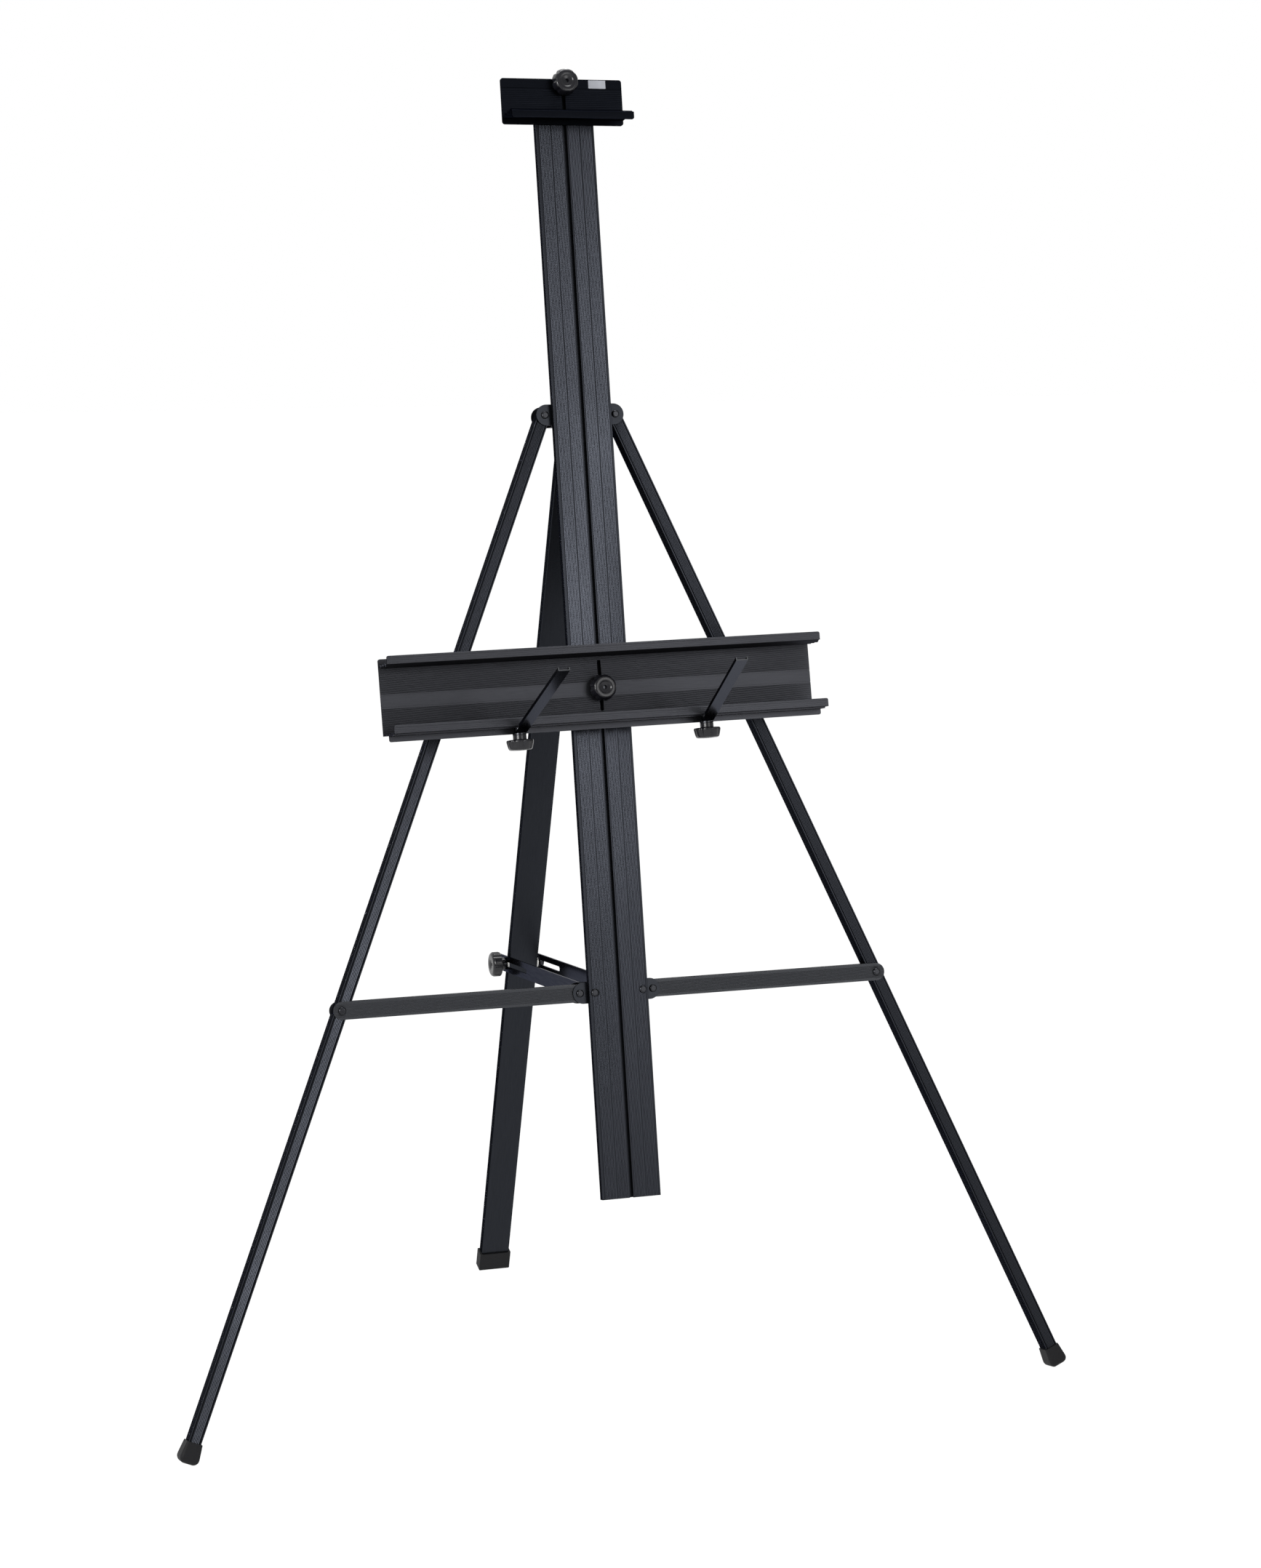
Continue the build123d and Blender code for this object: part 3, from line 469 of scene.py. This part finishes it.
def bumped(tree, value, distance):
    """A bump from a value, as a normal."""
    made = tree.nodes.new("ShaderNodeBump")
    made.inputs["Distance"].default_value = distance
    made.inputs["Strength"].default_value = 0.5
    tree.links.new(value, made.inputs["Height"])
    return made.outputs["Normal"]


GRAIN = 2600.0             # scale of the metal's grain
GRAIN_BUMP = 0.000015
GRAIN_CONTRAST = 0.12
PATCH = 9.0                # scale of its softly varying gloss
PATCH_STRETCH = 0.35
PLASTIC_PATCH = 30.0
PLASTIC_CONTRAST = 0.2
EDGE_TINT = (0.2, 0.2, 0.22)   # dark anodising stays dark when seen edge-on


def metal(name, colour, along, roughness=(0.34, 0.44), stretch=0.02):
    """Anodised or drawn metal with a fine grain along one direction and soft patches."""
    made, tree, shader = material(name)
    fine = noise(tree, turned_coordinates(tree, along, (1.0, 1.0, stretch)), GRAIN, 3.0)
    patch = noise(tree, turned_coordinates(tree, along, (1.0, 1.0, PATCH_STRETCH)), PATCH, 2.0)
    dark, light = either_side(colour, GRAIN_CONTRAST)
    tree.links.new(blended(tree, spread(tree, fine, 0, 1), dark, light),
                   shader.inputs["Base Color"])
    tree.links.new(spread(tree, patch, *roughness), shader.inputs["Roughness"])
    tree.links.new(bumped(tree, fine, GRAIN_BUMP), shader.inputs["Normal"])
    shader.inputs["Metallic"].default_value = 1.0
    shader.inputs["Specular Tint"].default_value = (*EDGE_TINT, 1)
    return made


def plastic(name, colour, roughness, texture, relief, shine=0.5):
    """Moulded plastic or rubber with a fine texture and a slightly uneven colour."""
    made, tree, shader = material(name)
    spot = tree.nodes.new("ShaderNodeTexCoord").outputs["Object"]
    fine = noise(tree, spot, texture, 4.0)
    patch = noise(tree, spot, PLASTIC_PATCH, 2.0)
    dark, light = either_side(colour, PLASTIC_CONTRAST)
    tree.links.new(blended(tree, spread(tree, patch, 0, 1), dark, light),
                   shader.inputs["Base Color"])
    tree.links.new(spread(tree, fine, *roughness), shader.inputs["Roughness"])
    tree.links.new(bumped(tree, fine, relief), shader.inputs["Normal"])
    shader.inputs["Specular IOR Level"].default_value = shine
    return made


def rear_direction():
    """The way the rear leg runs, as the diagonal of its box."""
    low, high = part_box("rear_leg")
    return Vector((0, low[1] - high[1], high[2] - low[2])).normalized()


SATIN = (0.028, 0.030, 0.036)
TRAY_RIGHT = (ACROSS * math.cos(TRAY_TILT) + UP * math.sin(TRAY_TILT)).normalized()
METALS = {
    "mast_metal": {"colour": SATIN, "along": UP},
    "tray_metal": {"colour": (0.046, 0.047, 0.053), "along": TRAY_RIGHT},
    "clamp_metal": {"colour": (0.007, 0.008, 0.011), "along": ACROSS},
    "leg_metal": {"colour": SATIN, "along": UP, "stretch": 0.3},
    "crossbar_metal": {"colour": (0.048, 0.050, 0.055), "along": ACROSS, "stretch": 0.3},
    "rear_leg_metal": {"colour": (0.024, 0.026, 0.031), "along": rear_direction()},
    "bar_metal": {"colour": (0.17, 0.175, 0.185), "along": Vector((0, -1, 0)),
                  "roughness": (0.12, 0.2)},
    "bracket_metal": {"colour": (0.028, 0.030, 0.035), "along": ACROSS,
                      "roughness": (0.28, 0.38)},
    "fittings": {"colour": (0.035, 0.036, 0.040), "along": UP, "roughness": (0.2, 0.3),
                 "stretch": 1.0},
}
PLASTICS = {
    "knob_plastic": {"colour": (0.006, 0.006, 0.008), "roughness": (0.2, 0.26),
                     "texture": 900.0, "relief": 0.000004, "shine": 0.4},
    "rubber": {"colour": (0.006, 0.006, 0.007), "roughness": (0.6, 0.75),
               "texture": 2200.0, "relief": 0.00003, "shine": 0.2},
    "nylon": {"colour": (0.62, 0.62, 0.60), "roughness": (0.4, 0.55),
              "texture": 1200.0, "relief": 0.00003},
    "label": {"colour": (0.30, 0.31, 0.34), "roughness": (0.3, 0.45),
              "texture": 900.0, "relief": 0.00001},
}
MATERIALS = {name: metal(name, **look) for name, look in METALS.items()}
MATERIALS.update({name: plastic(name, **look) for name, look in PLASTICS.items()})


def dress_nodes():
    """Give every CAD node the material of its record's slot."""
    for row in frame["record"]["subparts"]:
        node = frame["nodes"][row["node"]]
        for slot in node.material_slots:
            slot.material = MATERIALS[row["material_slot"]]


def dress_pieces():
    """Give every rebuilt piece the material of its slot."""
    for piece in bpy.data.objects:
        name = piece.get("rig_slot")
        if name and piece.type == "MESH":
            piece.data.materials.clear()
            piece.data.materials.append(MATERIALS[name])


# ================================================================ studio
ROOM = 0.5                 # strength of the surroundings in front of the easel
ROOM_RANGE = (-0.3, 0.8)   # backward part of a direction where they start and stop brightening
FLOOR_SIZE = 60
FLOOR_COLOUR = (0.06, 0.06, 0.06)   # under its glow, which makes it pale
FLOOR_GLOW = 0.975
# name, place, the point it faces, size in metres and power in watts
LIGHTS = (
    ("key", (-3.2, -2.8, 2.05), (0, 0, 0.9), (2.0, 1.3), 135),
    ("fill", (1.6, -4.0, 1.9), (0, 0, 0.8), (1.6, 1.6), 26),
    ("top", (0.3, 0.4, 4.2), (0, 0, 0.8), (2.6, 2.6), 120),
)


def camera():
    """The camera in front of the easel and to its left, looking slightly down."""
    back = Vector((math.sin(AZIMUTH) * math.cos(ELEVATION),
                   -math.cos(AZIMUTH) * math.cos(ELEVATION),
                   math.sin(ELEVATION)))
    data = bpy.data.cameras.new("camera")
    data.lens = LENS
    eye = bpy.data.objects.new("camera", data)
    eye.rotation_mode = "QUATERNION"
    roll = Matrix.Rotation(ROLL, 3, "Z")
    facing = (-back).to_track_quat("-Z", "Y").to_matrix() @ roll
    eye.rotation_quaternion = facing.to_quaternion()
    eye.location = TARGET + back * DISTANCE
    bpy.context.scene.collection.objects.link(eye)
    bpy.context.scene.camera = eye


def softbox(name, place, aim, size, power):
    """A rectangular area light that faces a point."""
    data = bpy.data.lights.new(name, "AREA")
    data.shape = "RECTANGLE"
    data.size, data.size_y = size
    data.energy = power
    lamp = bpy.data.objects.new(name, data)
    lamp.location = place
    lamp.rotation_mode = "QUATERNION"
    lamp.rotation_quaternion = (Vector(aim) - Vector(place)).to_track_quat("-Z", "Y")
    bpy.context.scene.collection.objects.link(lamp)


def surroundings():
    """White behind the easel and greyer in front of it, so that its front faces stay dark."""
    world = bpy.data.worlds.new("studio")
    world.use_nodes = True
    tree = world.node_tree
    shader = tree.nodes["Background"]
    shader.inputs["Color"].default_value = (1, 1, 1, 1)
    direction = tree.nodes.new("ShaderNodeTexCoord")
    backwards = tree.nodes.new("ShaderNodeSeparateXYZ")
    tree.links.new(direction.outputs["Generated"], backwards.inputs["Vector"])
    tree.links.new(spread(tree, backwards.outputs["Y"], ROOM, 1.0, ROOM_RANGE),
                   shader.inputs["Strength"])
    bpy.context.scene.world = world


def floor():
    """A plain pale floor. Most of its light is its own glow, so shadows on it are faint."""
    bpy.ops.mesh.primitive_plane_add(size=FLOOR_SIZE)
    ground = bpy.context.active_object
    ground.name = "floor"
    made, tree, shader = material("floor")
    shader.inputs["Base Color"].default_value = (*FLOOR_COLOUR, 1)
    shader.inputs["Roughness"].default_value = 0.9
    shader.inputs["Specular IOR Level"].default_value = 0.0
    shader.inputs["Emission Color"].default_value = (1, 1, 1, 1)
    shader.inputs["Emission Strength"].default_value = FLOOR_GLOW
    ground.data.materials.append(made)


def studio():
    """Bright surroundings, a pale floor and three soft lights."""
    bpy.context.scene.view_settings.view_transform = "Standard"
    surroundings()
    floor()
    for light in LIGHTS:
        softbox(*light)


# ================================================================ everything
ribbed_mast()
ribbed_panel()
lined_ledge("lined_top_ledge", "tray_top_ledge", TOP_FLOOR_LEVEL, TOP_REACH)
lined_ledge("lined_bottom_ledge", "tray_bottom_ledge", TRAY_BOTTOM, BOTTOM_REACH)
lined_clamp()
for side, word in ((-1, "left"), (1, "right")):
    ribbed_leg(side, "leg_" + word)
    ribbed_crossbar(side, "crossbar_" + word)
knob("tray_knob", "tray_knob_turn", KNOB_SEAT)
knob("clamp_knob", "clamp_knob_turn", KNOB_SEAT)
for word in ("left", "right"):
    knob("arm_knob_" + word, "arm_knob_" + word + "_turn", ARM_KNOB_SEAT, down=True)
dress_nodes()
dress_pieces()
camera()
studio()
